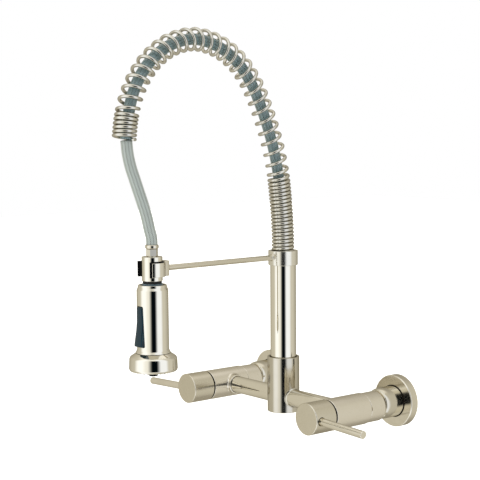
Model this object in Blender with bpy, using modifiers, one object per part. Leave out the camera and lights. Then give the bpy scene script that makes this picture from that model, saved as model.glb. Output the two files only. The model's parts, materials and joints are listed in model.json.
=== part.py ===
"""Wall-mounted bridge pre-rinse faucet with a sprung hose and a docked spray head.

Frame, in metres: X runs right along the wall, Y points into the wall (the wall's
face is Y = 0, so the faucet is on the -Y side) and Z is up. The origin is on the
wall's face, midway between the two inlets and at their height.
"""
import math

import bmesh
import bpy
from mathutils import Matrix, Vector

# ---- driving dimensions, metres -------------------------------------------------
GAP = 0.0003                # clearance between touching solids
ROUND = 24                  # sides of a full-size turned piece
SMALL_ROUND = 16            # sides of a small turned piece

# wall side
INLET_X = 0.1016            # half of the 8 inch (203.2 mm) inlet spacing
INLET_Z = 0.0002
FLANGE_R = 0.0278
FLANGE_DEPTH = 0.0096
FLANGE_WALL = 0.0032
FLANGE_FRONT = 0.0022
DOME_R = 0.0166             # inlet union, the bell in front of the flange
DOME_END = 0.0340
SOCKET_R = 0.0100           # half inch female thread
SOCKET_DEPTH = 0.0150

# valves, all on one axis that is a little lower than the inlets
VALVE_X = 0.1011
VALVE_Z = -0.0014
VALVE_R = 0.0166
VALVE_BACK = 0.0563         # distances from the wall
VALVE_FRONT = 0.1057
VALVE_BORE_R = 0.0134
SPIGOT_R = 0.0132
SPIGOT_BACK = 0.0453
WATERWAY_R = 0.0078
NUT_R = 0.0159
TAIL_R = 0.0111
TAIL_COLLAR_R = 0.0129
BONNET_R = 0.0154

# handles
CAP_BACK = 0.1070
CAP_FRONT = 0.1343
CAP_CAVITY_R = 0.0157
CAP_CAVITY_DEPTH = 0.0058
STEM_R = 0.0038
LEVER_R = 0.0040
LEVER_FROM_WALL = 0.1275
LEVER_INNER = 0.0060        # distances from the valve's axis
LEVER_TIP = 0.0762
LEVER_DROOP = math.radians(2.4)
LEVER_EDGE = 0.0014

# bridge, hub and riser
RISER_Y = -0.0768
BRIDGE_R = 0.00944
BRIDGE_WALL = 0.0015
BRIDGE_Z = -0.00105
BOSS_R = 0.0110
BOSS_REACH = 0.0203
HUB_R = 0.0176
HUB_LOW, HUB_TOP = -0.0174, 0.0433
HUB_BORE_R = 0.0154
HUB_FLOOR = -0.0120
RISER_R = 0.01417
RISER_BORE_R = 0.0118
RISER_LOW, RISER_TOP = 0.0145, 0.1490
O_RING_Z = 0.0186
COLLAR_R = 0.0162
COLLAR_LOW, COLLAR_TOP = 0.1442, 0.1600

# spring and hose
WIRE_R = 0.00178
SPRING_R = 0.01242          # outside of the coil
CLOSE_PITCH = 0.00398
HOSE_R = 0.0059
HOSE_LOW = 0.0300
HOSE_LEAN = 0.0025          # the hose rests on the inner side of the coil's end
OPEN_PITCH = 0.0125         # just past the close-wound part
PITCH_LOSS = 0.0021         # how much the open pitch falls along the arch
CLOSE_LENGTH = 0.0819       # length of the close-wound lower part
OPENING_LENGTH = 0.0220     # the pitch opens up over this length
END_LENGTH = 0.0230         # length of the close-wound end
CLOSING_LENGTH = 0.0078
SPRING_PHASE = 0.7474       # turns by which the wire's start leads the inner side
SPRING_POINTS_PER_TURN = 8
SPRING_STEPS_PER_POINT = 8

# docking arm and clip
HEAD_Y = RISER_Y - 0.1747   # the spray head's axis
ARM_R = 0.0029
ARM_Z = 0.1529
CLIP_LOW, CLIP_TOP = 0.1453, 0.1597
CLIP_R = 0.0135
CLIP_WALL = 0.0015
CLIP_REACH = 0.0079            # how far each jaw passes the head's axis
LINER_R = 0.0118
LINER_WALL = 0.0009
LINER_LOW, LINER_TOP = 0.1451, 0.1611
LIP_REACH = 0.0106
BOSS_WIDTH = 0.0088
BOSS_END = 0.0192

# spray head
NECK_R = 0.01062
NECK_LOW, NECK_TOP = 0.1410, 0.1657
SHELL_TOP = 0.1372
SHELL_WALL = 0.0018
SHELL_LIP = 0.0015
SHELL_MOUTH_R = 0.0125
SHOULDER_R, SHOULDER_Z = 0.01605, 0.1316
GRIP_R = 0.01635            # at the top of the flare
FLARE_R = 0.0180
RING_R = 0.02485
RING_LOW, RING_TOP = 0.0496, 0.0676
FLARE_TOP, FLARE_LOW = 0.0712, 0.0680
CORE_R = 0.0052
SLOT_TOP_HALF, SLOT_LOW_HALF = 0.0050, 0.0068
PADDLE_TOP_HALF, PADDLE_LOW_HALF = 0.0043, 0.0061
PADDLE_LOW, PADDLE_TOP = 0.0752, 0.1158
PADDLE_PIVOT_Z = 0.1125
PADDLE_PIVOT_OUT = 0.0138   # in front of the head's axis
STEM_Z = 0.0860

# The arch of spring and hose in the plane X = 0, as (y, z): up from the collar,
# over the top and down to the coil's free end.
ARCH = (
    (-0.0768, 0.1512), (-0.0769, 0.1700), (-0.0777, 0.1900), (-0.0797, 0.2130),
    (-0.0835, 0.2430), (-0.0896, 0.2690), (-0.0977, 0.2930), (-0.1078, 0.3168),
    (-0.1206, 0.3402), (-0.1392, 0.3620), (-0.1652, 0.3779), (-0.1955, 0.3842),
    (-0.2245, 0.3780), (-0.2475, 0.3637), (-0.2640, 0.3450), (-0.2747, 0.3247),
    (-0.2806, 0.3040), (-0.2833, 0.2844),
)
# The free hose, from the coil's end down to the spray head.
HOSE_DROP = (
    (-0.2808, 0.2826), (-0.2792, 0.2694), (-0.2760, 0.2565), (-0.2714, 0.2440),
    (-0.2665, 0.2310), (-0.2617, 0.2182), (-0.2574, 0.2053), (-0.2542, 0.1928),
    (-0.2520, 0.1855), (-0.2515, 0.1810),
)
HOSE_FOOT = 0.1780          # the hose's last stretch is upright, down to the ferrule


# ---- scene and materials ----------------------------------------------------------
def clear_scene():
    for obj in list(bpy.data.objects):
        bpy.data.objects.remove(obj, do_unlink=True)
    for group in list(bpy.data.collections):
        bpy.data.collections.remove(group)


def new_collection(name):
    group = bpy.data.collections.new(name)
    bpy.context.scene.collection.children.link(group)
    return group


clear_scene()
PARTS = new_collection("pre_rinse_faucet")
CUTTERS = new_collection("cutters")

FINISHES = {
    "satin_nickel": ((0.60, 0.56, 0.47), 0.34, 1.0),
    "polished_nickel": ((0.72, 0.68, 0.60), 0.10, 1.0),
    "spring_steel": ((0.62, 0.60, 0.53), 0.25, 1.0),
    "braided_hose": ((0.42, 0.46, 0.46), 0.45, 0.0),
    "black_plastic": ((0.02, 0.02, 0.022), 0.45, 0.0),
    "trigger_grey": ((0.05, 0.07, 0.09), 0.40, 0.0),
    "grey_plastic": ((0.30, 0.35, 0.38), 0.40, 0.0),
    "rubber": ((0.03, 0.03, 0.03), 0.70, 0.0),
    "brass": ((0.62, 0.45, 0.20), 0.35, 1.0),
    "cartridge_plastic": ((0.75, 0.75, 0.72), 0.45, 0.0),
    "steel": ((0.45, 0.45, 0.46), 0.35, 1.0),
}


def material(finish, node):
    colour, roughness, metallic = FINISHES[finish]
    mat = bpy.data.materials.new(node + "_" + finish)
    mat.use_nodes = True
    shader = mat.node_tree.nodes["Principled BSDF"]
    shader.inputs["Base Color"].default_value = (*colour, 1.0)
    shader.inputs["Roughness"].default_value = roughness
    shader.inputs["Metallic"].default_value = metallic
    return mat


# ---- building helpers ---------------------------------------------------------------
UPRIGHT = (0.0, 0.0, 0.0)
OFF_WALL = (math.pi / 2, 0.0, 0.0)      # local +Z points out of the wall, to -Y
ALONG_X = (0.0, math.pi / 2, 0.0)       # local +Z points to +X


def add_object(name, data, finish, location=(0, 0, 0), rotation=UPRIGHT):
    obj = bpy.data.objects.new(name, data)
    obj.location = location
    obj.rotation_euler = rotation
    if finish is None:
        CUTTERS.objects.link(obj)
        obj.hide_render = True
        obj.display_type = "WIRE"
    else:
        PARTS.objects.link(obj)
        data.materials.append(material(finish, name))
    return obj


def turned(name, profile, finish, location=(0, 0, 0), rotation=UPRIGHT, sides=ROUND, closed=False):
    """A lathe-turned solid. The profile is (radius, height), outer side top to bottom."""
    mesh = bpy.data.meshes.new(name)
    points = [(radius, 0.0, height) for radius, height in profile]
    edges = [(i, i + 1) for i in range(len(points) - 1)]
    if closed:
        edges.append((len(points) - 1, 0))
    mesh.from_pydata(points, edges, [])
    obj = add_object(name, mesh, finish, location, rotation)
    screw = obj.modifiers.new("turn", "SCREW")
    screw.axis = "Z"
    screw.angle = 2 * math.pi
    screw.steps = sides
    screw.render_steps = sides
    screw.use_merge_vertices = True
    screw.merge_threshold = 0.00001
    screw.use_smooth_shade = True
    return obj


def ring(name, inner, outer, low, top, finish, location=(0, 0, 0), rotation=UPRIGHT,
         sides=ROUND, edge=0.0):
    """A plain sleeve, with its outer edges chamfered by edge."""
    profile = [(outer - edge, top), (outer, top - edge), (outer, low + edge), (outer - edge, low),
               (inner, low), (inner, top)]
    if edge == 0.0:
        profile = [(outer, top), (outer, low), (inner, low), (inner, top)]
    return turned(name, profile, finish, location, rotation, sides, closed=True)


def rod(name, radius, low, top, finish, location=(0, 0, 0), rotation=UPRIGHT, sides=SMALL_ROUND,
        edge=0.0):
    """A plain cylinder from low to top on its own Z, with its ends chamfered by edge."""
    profile = [(0.0, top), (radius, top), (radius, low), (0.0, low)]
    if edge > 0.0:
        profile = [(0.0, top), (radius - edge, top), (radius, top - edge),
                   (radius, low + edge), (radius - edge, low), (0.0, low)]
    return turned(name, profile, finish, location, rotation, sides)


def box(name, low, top, finish):
    """A box between two corners in world space."""
    mesh = bpy.data.meshes.new(name)
    shape = bmesh.new()
    bmesh.ops.create_cube(shape, size=1.0)
    size = [b - a for a, b in zip(low, top)]
    middle = [(a + b) / 2 for a, b in zip(low, top)]
    bmesh.ops.scale(shape, vec=size, verts=shape.verts)
    bmesh.ops.translate(shape, vec=middle, verts=shape.verts)
    shape.to_mesh(mesh)
    shape.free()
    return add_object(name, mesh, finish)


def combine(obj, other, operation):
    """Adds an exact Boolean; other becomes a hidden cutter."""
    for group in list(other.users_collection):
        group.objects.unlink(other)
    CUTTERS.objects.link(other)
    other.hide_render = True
    other.display_type = "WIRE"
    step = obj.modifiers.new(operation.lower(), "BOOLEAN")
    step.operation = operation
    step.solver = "EXACT"
    step.object = other


def cut(obj, other):
    combine(obj, other, "DIFFERENCE")


def join(obj, other):
    combine(obj, other, "UNION")


def curve_object(name, points, radius, finish, bevel_resolution=2):
    """A round wire or tube along a chain of points, with filled ends."""
    curve = bpy.data.curves.new(name, "CURVE")
    curve.dimensions = "3D"
    spline = curve.splines.new("POLY")
    spline.points.add(len(points) - 1)
    for place, point in zip(spline.points, points):
        place.co = (*point, 1.0)
    curve.bevel_depth = radius
    curve.bevel_resolution = bevel_resolution
    curve.use_fill_caps = True
    return add_object(name, curve, finish)


def outline_solid(name, outline, low, top, finish):
    """A flat outline in X and Y, extruded from low to top, as a welded mesh."""
    curve = bpy.data.curves.new(name + "_outline", "CURVE")
    curve.dimensions = "2D"
    curve.fill_mode = "BOTH"
    curve.extrude = (top - low) / 2
    spline = curve.splines.new("POLY")
    spline.points.add(len(outline) - 1)
    for place, (x, y) in zip(spline.points, outline):
        place.co = (x, y, 0.0, 1.0)
    spline.use_cyclic_u = True
    guide = bpy.data.objects.new(name + "_outline", curve)
    guide.location = (0.0, 0.0, (low + top) / 2)
    CUTTERS.objects.link(guide)
    bpy.context.view_layer.update()
    mesh = bpy.data.meshes.new_from_object(guide.evaluated_get(bpy.context.evaluated_depsgraph_get()))
    shape = bmesh.new()
    shape.from_mesh(mesh)
    bmesh.ops.remove_doubles(shape, verts=shape.verts, dist=0.00001)
    bmesh.ops.recalc_face_normals(shape, faces=shape.faces)
    shape.to_mesh(mesh)
    shape.free()
    obj = add_object(name, mesh, finish)
    obj.matrix_world = guide.matrix_world
    bpy.data.objects.remove(guide, do_unlink=True)
    return obj


# ---- smooth routes --------------------------------------------------------------------
def smooth_route(points, pieces=16):
    """A Catmull-Rom curve through (y, z) points, as close (y, z) vectors."""
    knots = [Vector(point) for point in points]
    knots = [2 * knots[0] - knots[1]] + knots + [2 * knots[-1] - knots[-2]]
    route = []
    for before, start, end, after in zip(knots, knots[1:], knots[2:], knots[3:]):
        for i in range(pieces):
            t = i / pieces
            route.append(0.5 * (2 * start + (end - before) * t
                                + (2 * before - 5 * start + 4 * end - after) * t ** 2
                                + (3 * start - before - 3 * end + after) * t ** 3))
    route.append(knots[-2])
    return route


class Route:
    """A route in the plane X = 0 that is read by the distance along it."""

    def __init__(self, points):
        self.line = smooth_route(points)
        self.reach = [0.0]
        for a, b in zip(self.line, self.line[1:]):
            self.reach.append(self.reach[-1] + (b - a).length)
        self.length = self.reach[-1]

    def at(self, distance):
        """The point, and the unit vector to the curve's inner side, at a distance."""
        distance = min(max(distance, 0.0), self.length)
        i = 1
        while i < len(self.reach) - 1 and self.reach[i] < distance:
            i += 1
        share = (distance - self.reach[i - 1]) / (self.reach[i] - self.reach[i - 1])
        point = self.line[i - 1].lerp(self.line[i], share)
        along = (self.line[min(i + 1, len(self.line) - 1)] - self.line[max(i - 2, 0)]).normalized()
        return point, Vector((-along.y, along.x))

    def even_points(self, count):
        return [self.at(self.length * i / (count - 1))[0] for i in range(count)]


ARCH_ROUTE = Route(ARCH)


# ---- wall side, valves and handles, once for each side -----------------------------------
def wall_flange(side, sign):
    bevel = 0.0014
    obj = turned("wall_flange_" + side, [
        (FLANGE_R - bevel, FLANGE_DEPTH), (FLANGE_R, FLANGE_DEPTH - bevel), (FLANGE_R, 0.0),
        (FLANGE_R - FLANGE_WALL, 0.0), (FLANGE_R - FLANGE_WALL, FLANGE_DEPTH - FLANGE_FRONT),
        (DOME_R + GAP, FLANGE_DEPTH - FLANGE_FRONT), (DOME_R + GAP, FLANGE_DEPTH),
    ], "satin_nickel", (sign * INLET_X, 0.0, INLET_Z), OFF_WALL, closed=True)
    return obj


def inlet_union(side, sign):
    shoulder = 0.0035
    dome = [(0.0, DOME_END)]
    dome += [(DOME_R - shoulder * (1 - math.sin(a)), DOME_END - shoulder * (1 - math.cos(a)))
             for a in (0.0, math.pi / 6, math.pi / 3, math.pi / 2)]
    dome += [(DOME_R, 0.0008), (0.0, 0.0008)]
    obj = turned("inlet_union_" + side, dome, "polished_nickel",
                 (sign * INLET_X, 0.0, INLET_Z), OFF_WALL)
    collar_back, collar_front = 0.0388, 0.0430
    tail = turned("tail_" + side, [
        (0.0, collar_front), (TAIL_COLLAR_R, collar_front), (TAIL_COLLAR_R, collar_back),
        (TAIL_R, collar_back), (TAIL_R, DOME_END - 0.006), (0.0, DOME_END - 0.006),
    ], None, (sign * VALVE_X, 0.0, VALVE_Z), OFF_WALL)
    join(obj, tail)
    cut(obj, rod("socket_" + side, SOCKET_R, -0.002, SOCKET_DEPTH, None,
                 (sign * INLET_X, 0.0, INLET_Z), OFF_WALL, sides=ROUND))
    cut(obj, rod("tail_way_" + side, WATERWAY_R, SOCKET_DEPTH - 0.001, 0.046, None,
                 (sign * VALVE_X, 0.0, VALVE_Z), OFF_WALL))
    return obj


def coupling(side, sign):
    place = (sign * VALVE_X, 0.0, VALVE_Z)
    lip_front, edge = 0.0385, 0.0006
    nut_back, nut_front = DOME_END + GAP, VALVE_BACK - GAP
    turned("coupling_nut_" + side, [
        (NUT_R - edge, nut_front), (NUT_R, nut_front - edge), (NUT_R, nut_back + edge),
        (NUT_R - edge, nut_back), (TAIL_R + GAP, nut_back), (TAIL_R + GAP, lip_front),
        (SPIGOT_R + GAP, lip_front), (SPIGOT_R + GAP, nut_front),
    ], "satin_nickel", place, OFF_WALL, closed=True)
    ring("seal_washer_" + side, 0.0083, TAIL_COLLAR_R, 0.0433, SPIGOT_BACK - GAP, "rubber", place, OFF_WALL)


def valve_body(side, sign):
    place = (sign * VALVE_X, 0.0, VALVE_Z)
    edge = 0.0006
    obj = turned("valve_body_" + side, [
        (0.0, VALVE_FRONT), (VALVE_R - edge, VALVE_FRONT), (VALVE_R, VALVE_FRONT - edge),
        (VALVE_R, VALVE_BACK + edge), (VALVE_R - edge, VALVE_BACK), (SPIGOT_R, VALVE_BACK),
        (SPIGOT_R, SPIGOT_BACK), (0.0, SPIGOT_BACK),
    ], "satin_nickel", place, OFF_WALL)
    bridge_axis = (sign * VALVE_X, RISER_Y, BRIDGE_Z)
    toward_hub = ALONG_X if sign < 0 else (0.0, -math.pi / 2, 0.0)
    join(obj, rod("boss_" + side, BOSS_R, 0.005, BOSS_REACH, None, bridge_axis, toward_hub, sides=ROUND))
    cut(obj, rod("bore_" + side, VALVE_BORE_R, 0.0663, VALVE_FRONT + 0.01, None, place, OFF_WALL, sides=ROUND))
    cut(obj, rod("inlet_way_" + side, WATERWAY_R, 0.040, 0.070, None, place, OFF_WALL))
    cut(obj, rod("port_" + side, BRIDGE_R + GAP, 0.0115, 0.030, None, bridge_axis, toward_hub, sides=ROUND))


def cartridge(side, sign):
    place = (sign * VALVE_X, 0.0, VALVE_Z)
    turned("cartridge_" + side, [
        (0.0050, 0.1006), (0.0130, 0.1006), (0.0130, 0.0700), (0.0100, 0.0668), (0.0050, 0.0668),
    ], "cartridge_plastic", place, OFF_WALL, sides=SMALL_ROUND, closed=True)
    turned("bonnet_nut_" + side, [
        (BONNET_R, 0.1082), (BONNET_R, 0.1060), (0.0130, 0.1060), (0.0130, 0.1010),
        (0.0062, 0.1010), (0.0062, 0.1082),
    ], "brass", place, OFF_WALL, closed=True)
    rod("cartridge_stem_" + side, STEM_R, 0.0760, 0.1225, "brass", place, OFF_WALL, edge=0.0004)


def handle(side, sign):
    place = (sign * VALVE_X, 0.0, VALVE_Z)
    edge = 0.0008
    cap = turned("handle_cap_" + side, [
        (0.0, CAP_FRONT), (VALVE_R - edge, CAP_FRONT), (VALVE_R - edge * 0.3, CAP_FRONT - edge * 0.3),
        (VALVE_R, CAP_FRONT - edge), (VALVE_R, CAP_BACK), (CAP_CAVITY_R, CAP_BACK),
        (CAP_CAVITY_R, CAP_BACK + CAP_CAVITY_DEPTH), (STEM_R + GAP, CAP_BACK + CAP_CAVITY_DEPTH),
        (STEM_R + GAP, 0.1228), (0.0, 0.1228),
    ], "satin_nickel", place, OFF_WALL)
    outward = (0.0, sign * (math.pi / 2 + LEVER_DROOP), 0.0)
    lever_place = (sign * VALVE_X, -LEVER_FROM_WALL, VALVE_Z)
    cut(cap, rod("lever_hole_" + side, LEVER_R + 0.0004, LEVER_INNER - GAP, 0.03, None, lever_place, outward))
    rod("lever_rod_" + side, LEVER_R, LEVER_INNER, LEVER_TIP, "satin_nickel", lever_place, outward,
        edge=LEVER_EDGE)
    screw_place = (sign * VALVE_X, -0.1175, VALVE_Z)
    downward = (math.pi, 0.0, 0.0)
    cut(cap, rod("screw_hole_" + side, 0.0022, 0.0030, 0.03, None, screw_place, downward, sides=12))
    screw = rod("handle_screw_" + side, 0.0019, STEM_R + 0.0004, 0.0150, "steel", screw_place, downward, sides=12)
    cut(screw, rod("screw_socket_" + side, 0.0010, 0.0128, 0.0160, None, screw_place, downward, sides=6))


def bridge_tube(side, sign):
    inner_end, outer_end = 0.0125, 0.0869
    low, top = sorted((sign * inner_end, sign * outer_end))
    ring("bridge_tube_" + side, BRIDGE_R - BRIDGE_WALL, BRIDGE_R, low, top, "satin_nickel",
         (0.0, RISER_Y, BRIDGE_Z), ALONG_X)


for SIDE, SIGN in (("left", -1), ("right", 1)):
    wall_flange(SIDE, SIGN)
    inlet_union(SIDE, SIGN)
    coupling(SIDE, SIGN)
    valve_body(SIDE, SIGN)
    cartridge(SIDE, SIGN)
    handle(SIDE, SIGN)
    bridge_tube(SIDE, SIGN)


# ---- hub and riser -------------------------------------------------------------------------
def hub():
    place = (0.0, RISER_Y, 0.0)
    edge = 0.0007
    obj = turned("hub_body", [
        (0.0, HUB_FLOOR), (HUB_BORE_R, HUB_FLOOR), (HUB_BORE_R, HUB_TOP), (HUB_R - edge, HUB_TOP),
        (HUB_R, HUB_TOP - edge), (HUB_R, HUB_LOW + edge), (HUB_R - edge, HUB_LOW), (0.0, HUB_LOW),
    ], "satin_nickel", place)
    cut(obj, rod("hub_ports", BRIDGE_R + GAP, -0.03, 0.03, None, (0.0, RISER_Y, BRIDGE_Z), ALONG_X, sides=ROUND))
    screw_place = (0.0, RISER_Y, 0.0320)
    to_wall = (-math.pi / 2, 0.0, 0.0)
    cut(obj, rod("lock_hole", 0.0023, 0.0120, 0.0250, None, screw_place, to_wall, sides=12))
    screw = rod("hub_lock_screw", 0.0020, HUB_BORE_R + 0.0001, 0.0173, "steel", screw_place, to_wall, sides=12)
    cut(screw, rod("lock_socket", 0.0011, 0.0162, 0.0180, None, screw_place, to_wall, sides=6))
    ring("riser_bush", RISER_R + GAP, HUB_BORE_R - GAP, 0.0215, 0.0421, "black_plastic", place)


def riser():
    place = (0.0, RISER_Y, 0.0)
    groove_r, groove_half = RISER_R - 0.0011, 0.0012
    turned("riser_tube", [
        (RISER_R, RISER_TOP), (RISER_R, O_RING_Z + groove_half), (groove_r, O_RING_Z + groove_half),
        (groove_r, O_RING_Z - groove_half), (RISER_R, O_RING_Z - groove_half), (RISER_R, RISER_LOW),
        (RISER_BORE_R, RISER_LOW), (RISER_BORE_R, RISER_TOP),
    ], "polished_nickel", place, closed=True)
    section_r, sides = 0.00085, 6
    middle = groove_r + GAP + section_r
    turned("riser_o_ring", [
        (middle + section_r * math.cos(a), O_RING_Z + section_r * math.sin(a))
        for a in (-2 * math.pi * i / sides for i in range(sides))
    ], "rubber", place, closed=True)
    turned("hose_lower_fitting", [
        (0.0045, HOSE_LOW - GAP), (0.0060, HOSE_LOW - GAP), (0.0060, 0.0250),
        (RISER_BORE_R - GAP, 0.0250), (RISER_BORE_R - GAP, 0.0160), (0.0045, 0.0160),
    ], "brass", place, sides=SMALL_ROUND + 4, closed=True)
    seat = RISER_TOP + GAP
    collar = turned("spring_collar", [
        (COLLAR_R - 0.0006, COLLAR_TOP), (COLLAR_R, COLLAR_TOP - 0.0006), (COLLAR_R, COLLAR_LOW + 0.0004),
        (COLLAR_R - 0.0004, COLLAR_LOW), (RISER_R + GAP, COLLAR_LOW), (RISER_R + GAP, seat),
        (SPRING_R + GAP, seat), (SPRING_R + GAP, COLLAR_TOP),
    ], "satin_nickel", place, closed=True)
    forward = OFF_WALL
    arm_place = (0.0, RISER_Y, ARM_Z)
    cut(collar, rod("arm_socket", ARM_R + GAP, 0.0134, 0.0250, None, arm_place, forward))


def docking_arm():
    rod("docking_arm", ARM_R, 0.0137, -HEAD_Y + RISER_Y - BOSS_END + 0.0030, "satin_nickel",
        (0.0, RISER_Y, ARM_Z), OFF_WALL, edge=0.0003)


def jaw_line(radius, reach, steps=24):
    """Points from the right jaw's end, round the back of the head's axis, to the left one's."""
    back = [(radius * math.cos(a), radius * math.sin(a) + HEAD_Y) for a in
            (math.pi * i / steps for i in range(steps + 1))]
    return [(radius, HEAD_Y - reach)] + back + [(-radius, HEAD_Y - reach)]


def docking_clip():
    """A round-backed metal clip on a boss, lined with black plastic that ends in two guide lips."""
    clip_edge = jaw_line(CLIP_R, CLIP_REACH) + jaw_line(CLIP_R - CLIP_WALL, CLIP_REACH)[::-1]
    clip = outline_solid("docking_clip", clip_edge, CLIP_LOW, CLIP_TOP, "polished_nickel")
    join(clip, box("clip_boss", (-BOSS_WIDTH / 2, HEAD_Y + CLIP_R - CLIP_WALL / 2, CLIP_LOW - 0.0004),
                   (BOSS_WIDTH / 2, HEAD_Y + BOSS_END, CLIP_TOP + 0.0009), None))
    cut(clip, rod("arm_hole", ARM_R + GAP, -0.0034, 0.0100, None,
                  (0.0, HEAD_Y + BOSS_END, ARM_Z), OFF_WALL))
    liner_edge = jaw_line(LINER_R, LIP_REACH) + jaw_line(LINER_R - LINER_WALL, LIP_REACH)[::-1]
    outline_solid("clip_liner", liner_edge, LINER_LOW, LINER_TOP, "black_plastic")


# ---- spring and hose ---------------------------------------------------------------------------
def coil_pitch(distance):
    """Close-wound for twenty turns, open over the arch, close-wound again at the free end."""
    open_end = ARCH_ROUTE.length - END_LENGTH
    opened = OPEN_PITCH - PITCH_LOSS * (distance - CLOSE_LENGTH) / (open_end - CLOSE_LENGTH)
    rise = min(max((distance - CLOSE_LENGTH) / OPENING_LENGTH, 0.0), 1.0)
    fall = min(max((open_end - distance) / CLOSING_LENGTH, 0.0), 1.0)
    share = min(rise, fall)
    share = share * share * (3 - 2 * share)
    return CLOSE_PITCH + (opened - CLOSE_PITCH) * share


def support_spring():
    """The coil's points, a fixed number to each turn, each turn one pitch further on."""
    radius = SPRING_R - WIRE_R
    steps_per_turn = SPRING_POINTS_PER_TURN * SPRING_STEPS_PER_POINT
    distance, step, points = 0.0, 0, []
    while distance <= ARCH_ROUTE.length:
        if step % SPRING_STEPS_PER_POINT == 0:
            centre, inner = ARCH_ROUTE.at(distance)
            angle = 2 * math.pi * (step / steps_per_turn - SPRING_PHASE)
            offset = centre + inner * radius * math.cos(angle)
            points.append((radius * math.sin(angle), offset.x, offset.y))
        step += 1
        distance += coil_pitch(distance) / steps_per_turn
    curve_object("support_spring", points, WIRE_R, "spring_steel", bevel_resolution=1)


def hose():
    """The hose inside the riser and the spring, then the free hose below the coil's end."""
    straight = (RISER_Y, HOSE_LOW)
    inside = [(0.0, *straight)]
    count = 24
    for i in range(count):
        distance = ARCH_ROUTE.length * i / (count - 1)
        centre, inner = ARCH_ROUTE.at(distance)
        lean = min(max((distance - ARCH_ROUTE.length + 0.08) / 0.08, 0.0), 1.0)
        place = centre + inner * HOSE_LEAN * lean * lean * (3 - 2 * lean)
        inside.append((0.0, place.x, place.y))
    curve_object("hose_inside", inside, HOSE_R, "braided_hose")
    drop = Route(HOSE_DROP)
    points = [(0.0, point.x, point.y) for point in drop.even_points(9)]
    points.append((0.0, HEAD_Y, HOSE_FOOT))
    curve_object("hose_drop", points, HOSE_R, "braided_hose", bevel_resolution=4)


# ---- spray head -----------------------------------------------------------------------------------
def hose_connector():
    place = (0.0, HEAD_Y, 0.0)
    turned("hose_ferrule", [
        (0.0, 0.1776), (0.0063, 0.1776), (0.00694, 0.1768), (0.00694, 0.1742), (0.0063, 0.1736), (0.0, 0.1736),
    ], "polished_nickel", place, sides=SMALL_ROUND + 4)
    hex_nut = rod("hose_nut", 0.00625, NECK_TOP + GAP, 0.1733, "polished_nickel", place, sides=6)
    join(hex_nut, rod("hose_spigot", 0.0050, 0.1590, 0.1700, None, place))
    ring("hose_washer", 0.0020, 0.0050, 0.1572, 0.1587, "rubber", place, sides=SMALL_ROUND)


def head_neck():
    place = (0.0, HEAD_Y, 0.0)
    edge = 0.0007
    turned("head_neck", [
        (NECK_R - edge, NECK_TOP), (NECK_R, NECK_TOP - edge), (NECK_R, NECK_LOW + edge),
        (NECK_R - edge, NECK_LOW), (0.0075, NECK_LOW), (0.0075, 0.1560), (0.0053, 0.1569),
        (0.0053, NECK_TOP),
    ], "polished_nickel", place, closed=True)
    turned("check_valve", [
        (0.0, 0.1550), (0.0045, 0.1550), (0.0068, 0.1520), (0.0068, 0.1440), (0.0, 0.1440),
    ], "cartridge_plastic", place, sides=SMALL_ROUND)
    ring("neck_gasket", 0.0056, 0.0097, 0.1387, NECK_LOW - GAP, "rubber", place, sides=SMALL_ROUND + 8)
    ring("neck_ring", 0.0056, 0.0105, SHELL_TOP - SHELL_LIP + GAP, 0.1384, "grey_plastic", place,
         sides=SMALL_ROUND + 12)


def head_shell():
    """A tapered top, a straight grip and a concave flare down to the face ring."""
    place = (0.0, HEAD_Y, 0.0)
    flare_steps = 5
    outer = [(0.0143, SHELL_TOP), (0.0153, 0.1350), (SHOULDER_R, SHOULDER_Z)]
    for i in range(flare_steps + 1):
        angle = math.pi / 2 * i / flare_steps
        height = FLARE_TOP - (FLARE_TOP - FLARE_LOW) * math.sin(angle)
        radius = GRIP_R + (FLARE_R - GRIP_R) * (1 - math.cos(angle))
        outer.append((radius, height))
    inner = [(GRIP_R - SHELL_WALL, FLARE_LOW),
             (SHOULDER_R - SHELL_WALL, SHOULDER_Z - 0.0006), (SHELL_MOUTH_R, SHELL_TOP - SHELL_LIP),
             (SHELL_MOUTH_R, SHELL_TOP)]
    shell = turned("head_shell", outer + inner, "polished_nickel", place, closed=True)
    top, low = PADDLE_TOP + 0.0006, PADDLE_LOW - 0.0006
    slot = outline_solid("paddle_slot", [
        (SLOT_TOP_HALF, top), (-SLOT_TOP_HALF, top), (-SLOT_LOW_HALF, low), (SLOT_LOW_HALF, low),
    ], 0.0080, 0.0300, None)
    slot.location = (0.0, HEAD_Y - 0.0190, 0.0)
    slot.rotation_euler = OFF_WALL
    cut(shell, slot)
    return shell


def spray_core():
    """The head's waterway: a top flange that closes the shell, a stalk and a foot at the face."""
    place = (0.0, HEAD_Y, 0.0)
    core = turned("spray_core", [
        (0.0030, 0.1354), (0.0122, 0.1354), (0.0122, 0.1290), (CORE_R, 0.1290), (CORE_R, 0.0660),
        (0.0150, 0.0640), (0.0150, 0.0570), (0.0030, 0.0570),
    ], "black_plastic", place, sides=24, closed=True)
    cut(core, rod("valve_port", 0.0018, 0.0, 0.0200, None, (0.0, HEAD_Y, STEM_Z), OFF_WALL, sides=12))


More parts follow.
